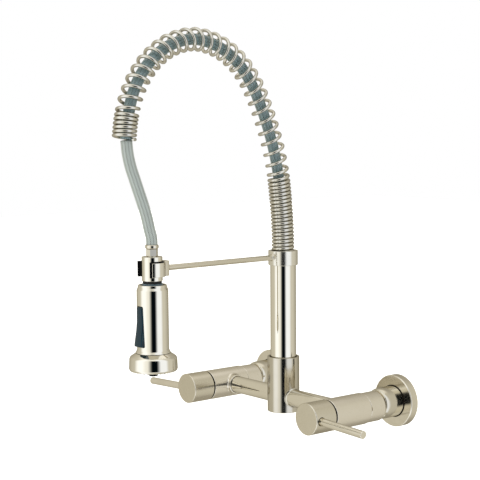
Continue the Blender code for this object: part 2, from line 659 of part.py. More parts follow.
def spray_face():
    place = (0.0, HEAD_Y, 0.0)
    edge = 0.0009
    mouth = 0.0222
    turned("face_ring", [
        (FLARE_R, RING_TOP), (0.0214, 0.0656), (0.0234, 0.0641), (0.0244, 0.0625), (RING_R, 0.0598),
        (RING_R, RING_LOW + edge), (RING_R - edge, RING_LOW), (mouth, RING_LOW), (mouth, 0.0600),
        (0.0160, 0.0654), (0.0160, RING_TOP),
    ], "polished_nickel", place, closed=True)
    turned("spray_plate", [
        (0.0219, 0.0562), (0.0219, 0.0512), (0.0060, 0.0512), (0.0060, 0.0562),
    ], "rubber", place, closed=True)
    turned("aerator", [
        (0.0057, 0.0562), (0.0057, 0.0518), (0.0045, 0.0512), (0.0045, 0.0438), (0.0028, 0.0438), (0.0028, 0.0562),
    ], "black_plastic", place, sides=SMALL_ROUND + 4, closed=True)


def paddle_outline():
    """Side view of the paddle, as (distance in front of the head's axis, z)."""
    back = 0.0128
    return [(back, PADDLE_TOP), (0.0166, PADDLE_TOP), (0.0175, PADDLE_TOP - 0.0008), (0.0174, 0.1000),
            (0.0180, 0.0920), (0.0192, 0.0830), (0.0201, PADDLE_LOW + 0.0015), (0.0196, PADDLE_LOW),
            (back, PADDLE_LOW)]


def trigger():
    """The paddle is wider at its foot; it is pressed in about the pin at its top."""
    mesh = bpy.data.meshes.new("trigger_paddle")
    shape = bmesh.new()
    outline = paddle_outline()
    rows = []
    for sign in (-1, 1):
        row = []
        for front, z in outline:
            share = (PADDLE_TOP - z) / (PADDLE_TOP - PADDLE_LOW)
            half_width = PADDLE_TOP_HALF + (PADDLE_LOW_HALF - PADDLE_TOP_HALF) * share
            row.append(shape.verts.new((sign * half_width, HEAD_Y - front, z)))
        rows.append(row)
    left, right = rows
    shape.faces.new(left)
    shape.faces.new(list(reversed(right)))
    for i in range(len(outline)):
        j = (i + 1) % len(outline)
        shape.faces.new((left[j], left[i], right[i], right[j]))
    bmesh.ops.recalc_face_normals(shape, faces=shape.faces)
    shape.to_mesh(mesh)
    shape.free()
    paddle = add_object("trigger_paddle", mesh, "trigger_grey")
    pivot = (0.0, HEAD_Y - PADDLE_PIVOT_OUT, PADDLE_PIVOT_Z)
    cut(paddle, rod("pin_hole", 0.0011, -0.01, 0.01, None, (0.0, pivot[1] - 0.0008, pivot[2]), ALONG_X, sides=12))
    rod("trigger_pin", 0.0008, -0.0048, 0.0048, "steel", (0.0, pivot[1] - 0.0008, pivot[2]), ALONG_X, sides=12)


def diverter():
    """The push rod behind the paddle and the spring that sends both back."""
    place = (0.0, HEAD_Y, STEM_Z)
    turned("valve_stem", [
        (0.0, 0.0125), (0.0030, 0.0125), (0.0030, 0.0113), (0.0014, 0.0113), (0.0014, 0.0012), (0.0, 0.0012),
    ], "brass", place, OFF_WALL, sides=12)
    turns, per_turn, wire, radius = 3.5, 8, 0.0003, 0.0023
    start, end = CORE_R + 0.0007, 0.0106
    count = int(turns * per_turn)
    points = []
    for i in range(count + 1):
        angle = 2 * math.pi * i / per_turn
        points.append((radius * math.cos(angle), HEAD_Y - start - (end - start) * i / count,
                       STEM_Z + radius * math.sin(angle)))
    curve_object("valve_spring", points, wire, "steel", bevel_resolution=1)


hub()
riser()
docking_arm()
docking_clip()
support_spring()
hose()
hose_connector()
head_neck()
head_shell()
spray_core()
spray_face()
trigger()
diverter()
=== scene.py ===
"""Visual model of a wall-mounted bridge pre-rinse faucet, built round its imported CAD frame.

Metres, in the CAD's frame: X right along the wall, Y into the wall, Z up.
"""
import json
from math import acos, cos, pi, radians, sin, sqrt, tan

import bpy
import numpy as np
from mathutils import Matrix, Vector


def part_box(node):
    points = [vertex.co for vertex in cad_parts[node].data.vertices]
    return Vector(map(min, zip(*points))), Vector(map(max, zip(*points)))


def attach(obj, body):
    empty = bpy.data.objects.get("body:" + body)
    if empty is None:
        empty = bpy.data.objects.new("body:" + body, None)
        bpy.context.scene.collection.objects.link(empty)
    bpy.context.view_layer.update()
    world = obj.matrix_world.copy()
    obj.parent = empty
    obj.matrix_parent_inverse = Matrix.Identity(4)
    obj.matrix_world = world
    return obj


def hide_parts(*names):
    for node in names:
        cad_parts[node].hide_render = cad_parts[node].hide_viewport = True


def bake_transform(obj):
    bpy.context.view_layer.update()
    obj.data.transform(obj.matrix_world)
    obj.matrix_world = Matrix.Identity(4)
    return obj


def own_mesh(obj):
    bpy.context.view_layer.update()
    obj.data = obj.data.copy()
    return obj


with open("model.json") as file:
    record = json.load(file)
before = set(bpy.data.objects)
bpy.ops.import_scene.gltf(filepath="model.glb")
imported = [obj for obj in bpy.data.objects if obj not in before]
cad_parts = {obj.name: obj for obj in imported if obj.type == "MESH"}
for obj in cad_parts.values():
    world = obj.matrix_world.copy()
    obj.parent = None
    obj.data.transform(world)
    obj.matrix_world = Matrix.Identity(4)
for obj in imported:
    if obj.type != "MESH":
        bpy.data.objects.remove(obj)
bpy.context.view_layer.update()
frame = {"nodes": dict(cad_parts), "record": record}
SCENE = bpy.context.scene
TURN = 2 * pi


# ---- node helpers ----
class Nodes:
    """Short ways to add and link the nodes of one tree. Colours are plain (r, g, b)."""

    def __init__(self, tree):
        self.tree = tree

    def feed(self, socket, value):
        """Links another node's output to the socket, or sets the socket's own value."""
        if isinstance(value, bpy.types.NodeSocket):
            self.tree.links.new(value, socket)
        else:
            socket.default_value = (*value, 1.0) if socket.type == "RGBA" else value

    def add(self, kind, inputs=None, **settings):
        made = self.tree.nodes.new(kind)
        for key, value in settings.items():
            setattr(made, key, value)
        for key, value in (inputs or {}).items():
            self.feed(made.inputs[key], value)
        return made

    def math(self, operation, *values):
        return self.add("ShaderNodeMath", dict(enumerate(values)), operation=operation).outputs[0]

    def step(self, value, low, high, start=0.0, end=1.0):
        """A smooth step from start to end as value goes from low to high."""
        return self.add("ShaderNodeMapRange", {
            "Value": value, "From Min": low, "From Max": high, "To Min": start, "To Max": end,
        }, interpolation_type="SMOOTHSTEP").outputs["Result"]

    def window(self, value, start, full, fade, end):
        """Goes up to 1 from start to full, and back down to 0 from fade to end."""
        return self.math("MULTIPLY", self.step(value, start, full), self.step(value, fade, end, 1.0, 0.0))

    def wave(self, place, period):
        return self.math("SINE", self.math("MULTIPLY", place, TURN / period))

    def mix(self, share, first, second):
        """Colour sockets 6 and 7 of the Mix node are its A and B."""
        return self.add("ShaderNodeMix", {0: share, 6: first, 7: second}, data_type="RGBA").outputs[2]

    def coordinates(self, kind, scale):
        """UV is in metres along the piece's own surface, Object is in metres in space."""
        place = self.add("ShaderNodeTexCoord").outputs[kind]
        return self.add("ShaderNodeMapping", {"Vector": place, "Scale": scale}).outputs[0]

    def axes(self, kind):
        """The coordinates as separate X, Y and Z outputs."""
        place = self.coordinates(kind, (1.0, 1.0, 1.0))
        return self.add("ShaderNodeSeparateXYZ", {"Vector": place}).outputs

    def noise(self, kind, scale, detail=3.0, roughness=0.5):
        """Noise whose cells are 1 / scale metres wide along each axis."""
        return self.add("ShaderNodeTexNoise", {"Vector": self.coordinates(kind, scale), "Scale": 1.0,
                                               "Detail": detail, "Roughness": roughness}).outputs[0]


class Paint(Nodes):
    """A material: its constants are on the Principled shader's own sockets, its detail on nodes."""

    def __init__(self, name, base, roughness, metallic=0.0, **sockets):
        self.material = bpy.data.materials.new(name)
        self.material.use_nodes = True
        self.material.diffuse_color = (*base, 1.0)
        super().__init__(self.material.node_tree)
        self.shader = self.tree.nodes["Principled BSDF"]
        sockets.update(Base_Color=base, Roughness=roughness, Metallic=metallic)
        for key, value in sockets.items():
            self.feed(self.shader.inputs[key.replace("_", " ")], value)

    def vary(self, tint, roughness, height, distance):
        """Colour, roughness and a bump of this distance in metres, all from nodes."""
        bump = self.add("ShaderNodeBump", {"Height": height, "Distance": distance, "Strength": 1.0})
        for key, value in (("Base Color", tint), ("Roughness", roughness), ("Normal", bump.outputs[0])):
            self.feed(self.shader.inputs[key], value)
        return self.material


# ---- materials ----
EDGE_TINT = (0.58, 0.56, 0.52)      # plating seen almost edge on
HOSE_R = 0.0059
HOSE_STRIPE = TURN * HOSE_R / 11
HOSE_THREAD = TURN * HOSE_R / 20
GRAIN_WIDTH = 0.00045               # of moulded plastic
THREAD_SLANT = 0.72                 # around the hose for each unit along it


def satin_metal(name, base, dark, roughness, line, coordinate="UV"):
    """Brushed plating: fine lines that run round a turned piece, with uneven sheen and colour."""
    paint = Paint(name, base, roughness, 1.0, Specular_Tint=EDGE_TINT)
    lines = paint.noise(coordinate, (45.0, 1 / line, 1 / line), 4.0, 0.65)
    clouds = paint.noise(coordinate, (60.0, 60.0, 60.0), 2.0)
    tint = paint.mix(paint.step(clouds, 0.25, 0.75), dark, base)
    spread = paint.math("MULTIPLY_ADD", lines, 0.05, roughness - 0.025)
    return paint.vary(tint, paint.math("MULTIPLY_ADD", clouds, 0.03, spread), lines, 0.0000004)


def polished_metal(name, base, warm, roughness):
    """Mirror plating with a faint haze of wiping marks and slow changes of colour."""
    paint = Paint(name, base, roughness, 1.0, Specular_Tint=EDGE_TINT)
    haze = paint.noise("UV", (260.0, 420.0, 420.0), 5.0, 0.6)
    slow = paint.noise("UV", (40.0, 40.0, 40.0), 1.0)
    tint = paint.mix(paint.step(slow, 0.3, 0.7), warm, base)
    return paint.vary(tint, paint.math("MULTIPLY_ADD", haze, 0.03, roughness - 0.015), slow, 0.000008)


def moulded_plastic(name, base, light, roughness, ior=1.46):
    """Moulded plastic or rubber: fine grain, faint mottling and small changes of gloss."""
    paint = Paint(name, base, roughness, IOR=ior)
    fine = paint.noise("Object", (1 / GRAIN_WIDTH,) * 3)
    mottle = paint.noise("Object", (150.0,) * 3, 2.0)
    tint = paint.mix(paint.step(mottle, 0.3, 0.75), base, light)
    return paint.vary(tint, paint.math("MULTIPLY_ADD", fine, 0.16, roughness - 0.08), fine, 0.000012)


def ribbed_plastic(name, base, light, pitch):
    """The thumb paddle: dark plastic with fine ribs along it."""
    paint = Paint(name, base, 0.3, IOR=1.36)
    rib = paint.step(paint.wave(paint.axes("Object")["X"], pitch), -0.6, 0.9)
    grain = paint.noise("Object", (2600.0,) * 3)
    return paint.vary(paint.mix(rib, base, light), paint.math("MULTIPLY_ADD", grain, 0.2, 0.22),
                      paint.math("MULTIPLY_ADD", grain, 0.15, rib), 0.00004)


def braided_hose(name, dark, light, blue):
    """A clear hose over a fine braid: two sets of slanting threads and a few long stripes."""
    paint = Paint(name, light, 0.32, IOR=1.5, Coat_Weight=0.6, Coat_Roughness=0.12, Coat_IOR=1.5)
    place = paint.axes("UV")
    slant = paint.math("MULTIPLY", place["Y"], THREAD_SLANT)
    threads = [paint.wave(paint.math(way, place["X"], slant), HOSE_THREAD) for way in ("ADD", "SUBTRACT")]
    weave = paint.step(paint.math("MAXIMUM", *threads), 0.1, 1.0)
    stripe = paint.wave(place["X"], HOSE_STRIPE)
    streak = paint.math("MULTIPLY", paint.noise("UV", (900.0, 26.0, 1.0)), 0.25)
    shade = paint.math("MULTIPLY_ADD", paint.step(stripe, -0.95, -0.25), 0.75, streak)
    tint = paint.mix(paint.math("MULTIPLY", weave, 0.62), paint.mix(shade, dark, blue), light)
    return paint.vary(tint, paint.math("MULTIPLY_ADD", weave, -0.14, 0.42),
                      paint.math("MULTIPLY_ADD", stripe, 0.4, weave), 0.0001)


FINE_LINE, SOFT_LINE = 0.00022, 0.0005      # widths of a brush line
FINISH = {row[0]: make(*row) for make, *rows in (
    (satin_metal,
     ("satin_nickel", (0.7, 0.655, 0.545), (0.685, 0.64, 0.53), 0.22, FINE_LINE),
     ("drawn_nickel", (0.72, 0.68, 0.58), (0.69, 0.65, 0.55), 0.1, SOFT_LINE),
     ("brushed_nickel", (0.62, 0.585, 0.495), (0.59, 0.555, 0.47), 0.11, SOFT_LINE),
     ("collar_nickel", (0.8, 0.775, 0.69), (0.77, 0.745, 0.665), 0.18, SOFT_LINE),
     ("body_nickel", (0.82, 0.775, 0.68), (0.8, 0.755, 0.66), 0.2, FINE_LINE),
     ("lever_nickel", (0.84, 0.8, 0.7), (0.8, 0.76, 0.66), 0.09, SOFT_LINE),
     ("dome_nickel", (0.68, 0.64, 0.54), (0.65, 0.61, 0.51), 0.1, SOFT_LINE),
     ("flange_nickel", (0.77, 0.73, 0.63), (0.73, 0.69, 0.59), 0.13, FINE_LINE),
     ("brass", (0.36, 0.27, 0.13), (0.28, 0.2, 0.09), 0.4, 0.0004, "Object"),
     # near-black brass: painted shade for the deep groove round the bonnet nut and the gap round the bell
     ("painted_shade_brass", (0.03, 0.026, 0.02), (0.016, 0.014, 0.011), 0.55, 0.0004, "Object"),
     ("steel", (0.42, 0.42, 0.43), (0.36, 0.36, 0.37), 0.3, 0.0003, "Object")),
    (polished_metal,
     ("polished_nickel", (0.82, 0.79, 0.7), (0.8, 0.765, 0.665), 0.018),
     ("spring_steel", (0.66, 0.64, 0.57), (0.58, 0.56, 0.5), 0.045)),
    (moulded_plastic,
     ("black_plastic", (0.002, 0.002, 0.003), (0.004, 0.004, 0.005), 0.3, 1.22),
     ("grey_plastic", (0.13, 0.19, 0.22), (0.17, 0.24, 0.27), 0.34),
     ("rubber", (0.01, 0.01, 0.01), (0.018, 0.018, 0.018), 0.65),
     ("nozzle_rubber", (0.1, 0.105, 0.11), (0.14, 0.145, 0.15), 0.5),
     ("cartridge_plastic", (0.7, 0.7, 0.66), (0.76, 0.76, 0.72), 0.45)),
    (ribbed_plastic, ("trigger_grey", (0.004, 0.018, 0.03), (0.012, 0.042, 0.058), 0.0011)),
    (braided_hose,
     ("braided_hose", (0.075, 0.09, 0.08), (0.7, 0.74, 0.68), (0.42, 0.49, 0.46)),
     # A darker copy of the hose: painted shade for the tube inside the spring.
     ("braided_hose_painted_shade", (0.04, 0.07, 0.075), (0.38, 0.5, 0.49), (0.15, 0.24, 0.255))),
) for row in rows}
SLOT_OF = {entry["node"]: entry["material_slot"] for entry in frame["record"]["subparts"]}
BODY_OF = {node: body for body, nodes in frame["record"]["behaviour"]["bodies"].items() for node in nodes}
for NODE, CAD_OBJECT in frame["nodes"].items():
    for PLACE in CAD_OBJECT.material_slots:
        # The bonnet nuts get the near-black brass: painted shade in the groove between cap and valve body.
        PLACE.material = FINISH["painted_shade_brass" if NODE.startswith("bonnet_nut") else SLOT_OF[NODE]]


# ---- mesh helpers ----
UPRIGHT = Matrix.Identity(4)
OFF_WALL = Matrix.Rotation(pi / 2, 4, "X")        # local +Z points out of the wall, to -Y
TO_WALL = Matrix.Rotation(-pi / 2, 4, "X")
TO_RIGHT = Matrix.Rotation(pi / 2, 4, "Y")
TO_LEFT = Matrix.Rotation(-pi / 2, 4, "Y")
SUPPORT = 0.00012       # a ring this far from each rounded corner keeps the flat beside it flat
SUNK = 0.0003           # how deep a weld's open edges go into the pieces it joins


def mesh_object(name, vertices, faces, uvs=None):
    mesh = bpy.data.meshes.new(name)
    mesh.from_pydata([tuple(v) for v in vertices], [], faces)
    if uvs is not None:
        layer = mesh.uv_layers.new(name="UVMap")
        layer.data.foreach_set("uv", np.array(uvs, np.float32).ravel())
    mesh.shade_smooth()
    made = bpy.data.objects.new(name, mesh)
    SCENE.collection.objects.link(made)
    return made


def unit(vectors):
    """The vectors, or rows of vectors, at length 1."""
    return vectors / np.maximum(np.linalg.norm(vectors, axis=-1, keepdims=True), 1e-12)


def travel_along(points):
    """Each point's distance from the first one, along the line."""
    return np.r_[0, np.cumsum(np.linalg.norm(np.diff(points, axis=0), axis=1))]


def grid(rows, columns, uv=None, wrap=True, flip=False, start=0):
    """The quads, and their UVs, over rows of points. Rows are closed on themselves if wrap."""
    faces, uvs = [], []
    for i in range(rows - 1):
        for j in range(columns if wrap else columns - 1):
            corners = [(i, j), (i + 1, j), (i + 1, j + 1), (i, j + 1)]
            if flip:
                corners[1], corners[3] = corners[3], corners[1]
            faces.append(tuple(start + row * columns + column % columns for row, column in corners))
            if uv:
                uvs += [uv(row, column) for row, column in corners]
    return faces, uvs


def rounded(profile, closed, arc):
    """Replaces each (radius, height, fillet) corner by an arc with a support ring at each end."""
    points = [tuple(p) + (0.0,) * (3 - len(p)) for p in profile]
    count = len(points)
    line = []
    for i, (r, z, fillet) in enumerate(points):
        here = np.array((r, z))
        if fillet <= 0.0 or (not closed and i in (0, count - 1)):
            line.append(here)
            continue
        before = np.array(points[i - 1][:2]) - here
        after = np.array(points[(i + 1) % count][:2]) - here
        span = min(np.linalg.norm(before), np.linalg.norm(after))
        before, after = unit(before), unit(after)
        half = acos(max(-1.0, min(1.0, float(before @ after)))) / 2
        reach = min(fillet / tan(half), 0.49 * span)
        fillet = reach * tan(half)
        middle = here + (before + after) / np.linalg.norm(before + after) * fillet / sin(half)
        start, end = here + before * reach, here + after * reach
        a, b = start - middle, end - middle
        sweep = acos(max(-1.0, min(1.0, float(a @ b) / fillet ** 2)))
        side = min(SUPPORT, 0.3 * (span - reach))
        line.append(start + before * side)
        for k in range(arc + 1):
            t = k / arc
            spoke = a * sin((1 - t) * sweep) + b * sin(t * sweep)
            line.append(middle + spoke / sin(sweep))
        line.append(end + after * side)
    kept = [line[0]]
    for point in line[1:]:
        if np.linalg.norm(point - kept[-1]) > 1e-7:
            kept.append(point)
    return np.array(kept)


def lathe(name, profile, place, segments, closed=None, arc=7):
    """A turned mesh. The profile is (radius, height, fillet), outer side top to bottom.

    It is closed on itself unless it starts on the axis, or closed says.
    """
    closed = profile[0][0] > 0.0 if closed is None else closed
    line = rounded(profile, closed, arc)
    if closed:
        line = np.vstack([line, line[:1]])
    travel = travel_along(line)
    angles = np.arange(segments) * TURN / segments
    vertices, first = [], []
    for r, z in line[:-1] if closed else line:
        first.append(len(vertices))
        if r < 1e-7:
            vertices.append((0.0, 0.0, z))
        else:
            vertices.extend((r * cos(a), r * sin(a), z) for a in angles)
    if closed:
        first.append(first[0])
    width, pole = line[:, 0].max(), line[:, 0] < 1e-7
    faces, uvs = [], []
    for i in range(len(line) - 1):
        if pole[i] and pole[i + 1]:
            continue
        corners = [(i, 0), (i + 1, 0), (i + 1, 1), (i, 1)]
        if pole[i] or pole[i + 1]:
            corners.remove((i, 1) if pole[i] else (i + 1, 1))
        for j in range(segments):
            faces.append(tuple(first[row] + (0 if pole[row] else (j + side) % segments)
                               for row, side in corners))
            uvs += [((j + side) * TURN / segments * width, travel[row]) for row, side in corners]
    made = mesh_object(name, vertices, faces, uvs)
    made.data.transform(place)
    made.data.set_sharp_from_angle(angle=radians(35))
    made["place"] = [value for row in place for value in row]
    made["line"] = line.ravel().tolist()
    return made


def true_normals(obj):
    """Gives a carved lathe the exact normals of its turned surface, so that it mirrors cleanly."""
    place = Matrix([obj["place"][i * 4:i * 4 + 4] for i in range(4)])
    line = np.array(obj["line"]).reshape(-1, 2)
    ahead = np.diff(line, axis=0)
    length = np.maximum(np.linalg.norm(ahead, axis=1), 1e-12)
    flat = np.stack([-ahead[:, 1], ahead[:, 0]], 1) / length[:, None]
    corner = unit(np.vstack([flat[:1], flat[:-1] + flat[1:], flat[-1:]]))
    back = np.array(place.inverted())
    turn = np.array(place)[:3, :3]
    mesh = obj.data
    co = np.array([v.co for v in mesh.vertices]) @ back[:3, :3].T + back[:3, 3]
    flat_co = np.stack([np.hypot(co[:, 0], co[:, 1]), co[:, 2]], 1)
    share = ((flat_co[:, None] - line[None, :-1]) * ahead[None]).sum(2) / (length ** 2)[None]
    share = np.clip(share, 0, 1)
    gap = np.linalg.norm(flat_co[:, None] - (line[None, :-1] + share[:, :, None] * ahead[None]), axis=2)
    pick = gap.argmin(1)
    rows = np.arange(len(co))
    t = share[rows, pick][:, None]
    two = corner[pick] * (1 - t) + corner[pick + 1] * t
    radius = np.maximum(flat_co[:, 0], 1e-9)
    normal = np.stack([two[:, 0] * co[:, 0] / radius, two[:, 0] * co[:, 1] / radius, two[:, 1]], 1)
    normal = unit(normal @ turn.T)
    near = gap.min(1) < 2e-6
    loops = []
    for face in mesh.polygons:
        own = np.array(face.normal)
        for corner_index in face.vertices:
            use = near[corner_index] and normal[corner_index] @ own > 0.9
            loops.append(tuple(normal[corner_index] if use else own))
    mesh.normals_split_custom_set(loops)


def carve(obj, *cutters):
    """Cuts the cutters out of obj for good and restores the turned surface's normals."""
    for cutter in cutters:
        step = obj.modifiers.new("carve", "BOOLEAN")
        step.operation = "DIFFERENCE"
        step.solver = "EXACT"
        step.object = cutter
    bpy.context.view_layer.update()
    graph = bpy.context.evaluated_depsgraph_get()
    mesh = bpy.data.meshes.new_from_object(obj.evaluated_get(graph))
    obj.modifiers.clear()
    old = obj.data
    obj.data = mesh
    bpy.data.meshes.remove(old)
    for cutter in cutters:
        bpy.data.objects.remove(cutter, do_unlink=True)
    mesh.shade_smooth()
    true_normals(obj)


def sweep(name, points, radius, sides, bevel):
    """A round wire or tube along close points, with slightly bevelled ends."""
    points = np.array(points, float)
    ahead, travel = unit(np.gradient(points, axis=0)), travel_along(points)
    side = np.cross(ahead[0], (1.0, 0.0, 0.0) if abs(ahead[0][0]) < 0.9 else (0.0, 0.0, 1.0))
    angles = np.arange(sides) * TURN / sides
    vertices = []
    for centre, t in zip(points, ahead):
        side = unit(side - t * (side @ t))
        other = np.cross(t, side)
        for a in angles:
            vertices.append(centre + radius * (side * cos(a) + other * sin(a)))
    count = len(points)
    faces, uvs = grid(count, sides, lambda row, column: (column * TURN / sides * radius, travel[row]),
                      flip=True)
    for ring, sign in ((0, -1), (count - 1, 1)):
        base, start = ring * sides, len(vertices)
        for j in range(sides):
            k = (j + 1) % sides
            spoke = vertices[base + j] - points[ring]
            vertices.append(points[ring] + spoke * ((radius - bevel) / radius) + ahead[ring] * sign * bevel)
            faces.append((base + j, base + k, start + k, start + j)[::sign])
        faces.append(tuple(range(start, start + sides))[::sign])
        uvs += [(0.0, 0.0)] * 5 * sides
    made = mesh_object(name, vertices, faces, uvs)
    made.data.set_sharp_from_angle(angle=radians(50))
    return made


def quarter_round(width, height, steps):
    """The points of a rounded edge, from (width, 0) to (0, height)."""
    return [(width * (1 - sin(a)), height * (1 - cos(a)))
            for a in (pi / 2 * k / steps for k in range(steps + 1))]


def plate(name, outline, low, top, edge, steps=4):
    """A solid from an outline in X and Y, anticlockwise, with rounded top and bottom edges."""
    outline = np.array(outline, float)
    before, after = np.roll(outline, 1, 0), np.roll(outline, -1, 0)

    def inwards(direction):
        direction = unit(direction)
        return np.stack([-direction[:, 1], direction[:, 0]], 1)

    one, two = inwards(outline - before), inwards(after - outline)
    mitre = unit(one + two)
    mitre /= np.maximum((mitre * one).sum(1), 0.35)[:, None]
    rings = [(inset, top - drop) for inset, drop in quarter_round(edge, edge, steps)]
    rings.append((0.0, top - edge - SUPPORT))
    rings += [(inset, low + top - z) for inset, z in reversed(rings)]
    vertices = [(x, y, z) for inset, z in rings for x, y in outline + mitre * inset]
    n, travel = len(outline), travel_along(np.vstack([outline, outline[:1]]))
    faces, uvs = grid(len(rings), n, lambda row, column: (travel[column], rings[row][1]))
    faces.append(tuple(range(n)))
    uvs += [tuple(p) for p in outline]
    last = (len(rings) - 1) * n
    faces.append(tuple(reversed(range(last, last + n))))
    uvs += [tuple(p) for p in reversed(outline)]
    made = mesh_object(name, vertices, faces, uvs)
    made.data.set_sharp_from_angle(angle=radians(40))
    return made


def saddle_fillet(name, host_axis, host_r, tube_axis, tube_r, fillet, place):
    """The small fillet where a tube along tube_axis leaves a round host along host_axis.

    place is where the two axes cross, or the host's axis nearest to the tube's.
    """
    tube_axis, host_axis = Vector(tube_axis), Vector(host_axis)
    across, steps, arc = host_axis.cross(tube_axis), 96, 6
    section = [(fillet, -SUNK), *quarter_round(fillet, fillet, arc), (-SUNK, fillet)]
    vertices = []
    for along, proud in section:
        rho = tube_r + proud
        for t in (TURN * i / steps for i in range(steps)):
            offset = rho * cos(t)
            reach = sqrt(host_r ** 2 - offset ** 2) + along
            vertices.append(Vector(place) + tube_axis * reach + across * offset
                            + host_axis * (rho * sin(t)))
    faces, uvs = grid(len(section), steps, lambda row, column: (
        TURN * column / steps * tube_r, row * fillet / arc))
    return mesh_object(name, vertices, faces, uvs)


def corner_arc(x, y, radius, start, steps=6):
    """A quarter circle round (x, y), anticlockwise from the angle start in degrees."""
    return [(x + radius * cos(a), y + radius * sin(a))
            for a in (radians(start + 90 * k / steps) for k in range(steps + 1))]


def prism_cutter(halves, low, top, radius, start, end, place):
    """A shape with rounded corners, from y = low to y = top, that cuts from z = start to z = end.

    halves are its half widths at low and at top.
    """
    outline = []
    for sx, sy, turn in ((1, 1, 0), (-1, 1, 90), (-1, -1, 180), (1, -1, 270)):
        half, y = (halves[1], top) if sy > 0 else (halves[0], low)
        outline += corner_arc(sx * (half - radius), y - sy * radius, radius, turn)
    cutter = plate("cutter", outline, start, end, 0.00005, 1)
    cutter.data.transform(place)
    return cutter


def rod_cutter(radius, low, top, place):
    return lathe("cutter", [(0.0, top), (radius, top), (radius, low), (0.0, low)], place, 64)


def dress(obj, slot, finish):
    """Gives a piece the named finish, or else its slot's own."""
    obj.data.materials.clear()
    obj.data.materials.append(FINISH[finish or slot])


def finish_piece(obj, node, finish=None, ride=True):
    """Dresses a piece that stands for a CAD node, and lets it ride on that node's body."""
    dress(obj, SLOT_OF[node], finish)
    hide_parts(node)
    if ride:
        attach(obj, BODY_OF[node])
    return obj


def finish_detail(obj, body, slot, finish=None):
    """Dresses a small piece that stands for no CAD node of its own."""
    dress(obj, slot, finish)
    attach(obj, body)


def turned(name, profile, place, segments, finish=None, cutters=(), node=None, arc=7):
    """A finished lathe piece. Its CAD node is its name without the last word, unless node says."""
    piece = lathe(name, profile, place, segments, arc=arc)
    if cutters:
        carve(piece, *cutters)
    return finish_piece(piece, node or name.rsplit("_", 1)[0], finish)


class Extent:
    """A CAD node's box: its low and top corners, middle, size, and half its width."""

    def __init__(self, node):
        self.low, self.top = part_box(node)
        self.middle = (self.low + self.top) / 2
        self.size = self.top - self.low
        self.radius = self.size.x / 2


def heights(node):
    """The node's lowest and highest z."""
    return [corner.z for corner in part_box(node)]


def at(x, y, z, turn=UPRIGHT):
    return Matrix.Translation((x, y, z)) @ turn


CLEARANCE = 0.0003              # between two turned pieces that fit into each other
HEAD_Y = Extent("head_neck").middle.y
HEAD_AXIS = at(0.0, HEAD_Y, 0.0)
SIDES = (("left", -1, TO_LEFT), ("right", 1, TO_RIGHT))


# ---- wall side, valves and handles ----
LEVER_DROOP = radians(2.4)
DOME_END, BODY_BACK = 0.034, 0.0563     # distances off the wall
BOSS_R, BOSS_END = 0.011, 0.0203
CAP_LIFT = 0.0002                       # keeps the cap clear of the valve body


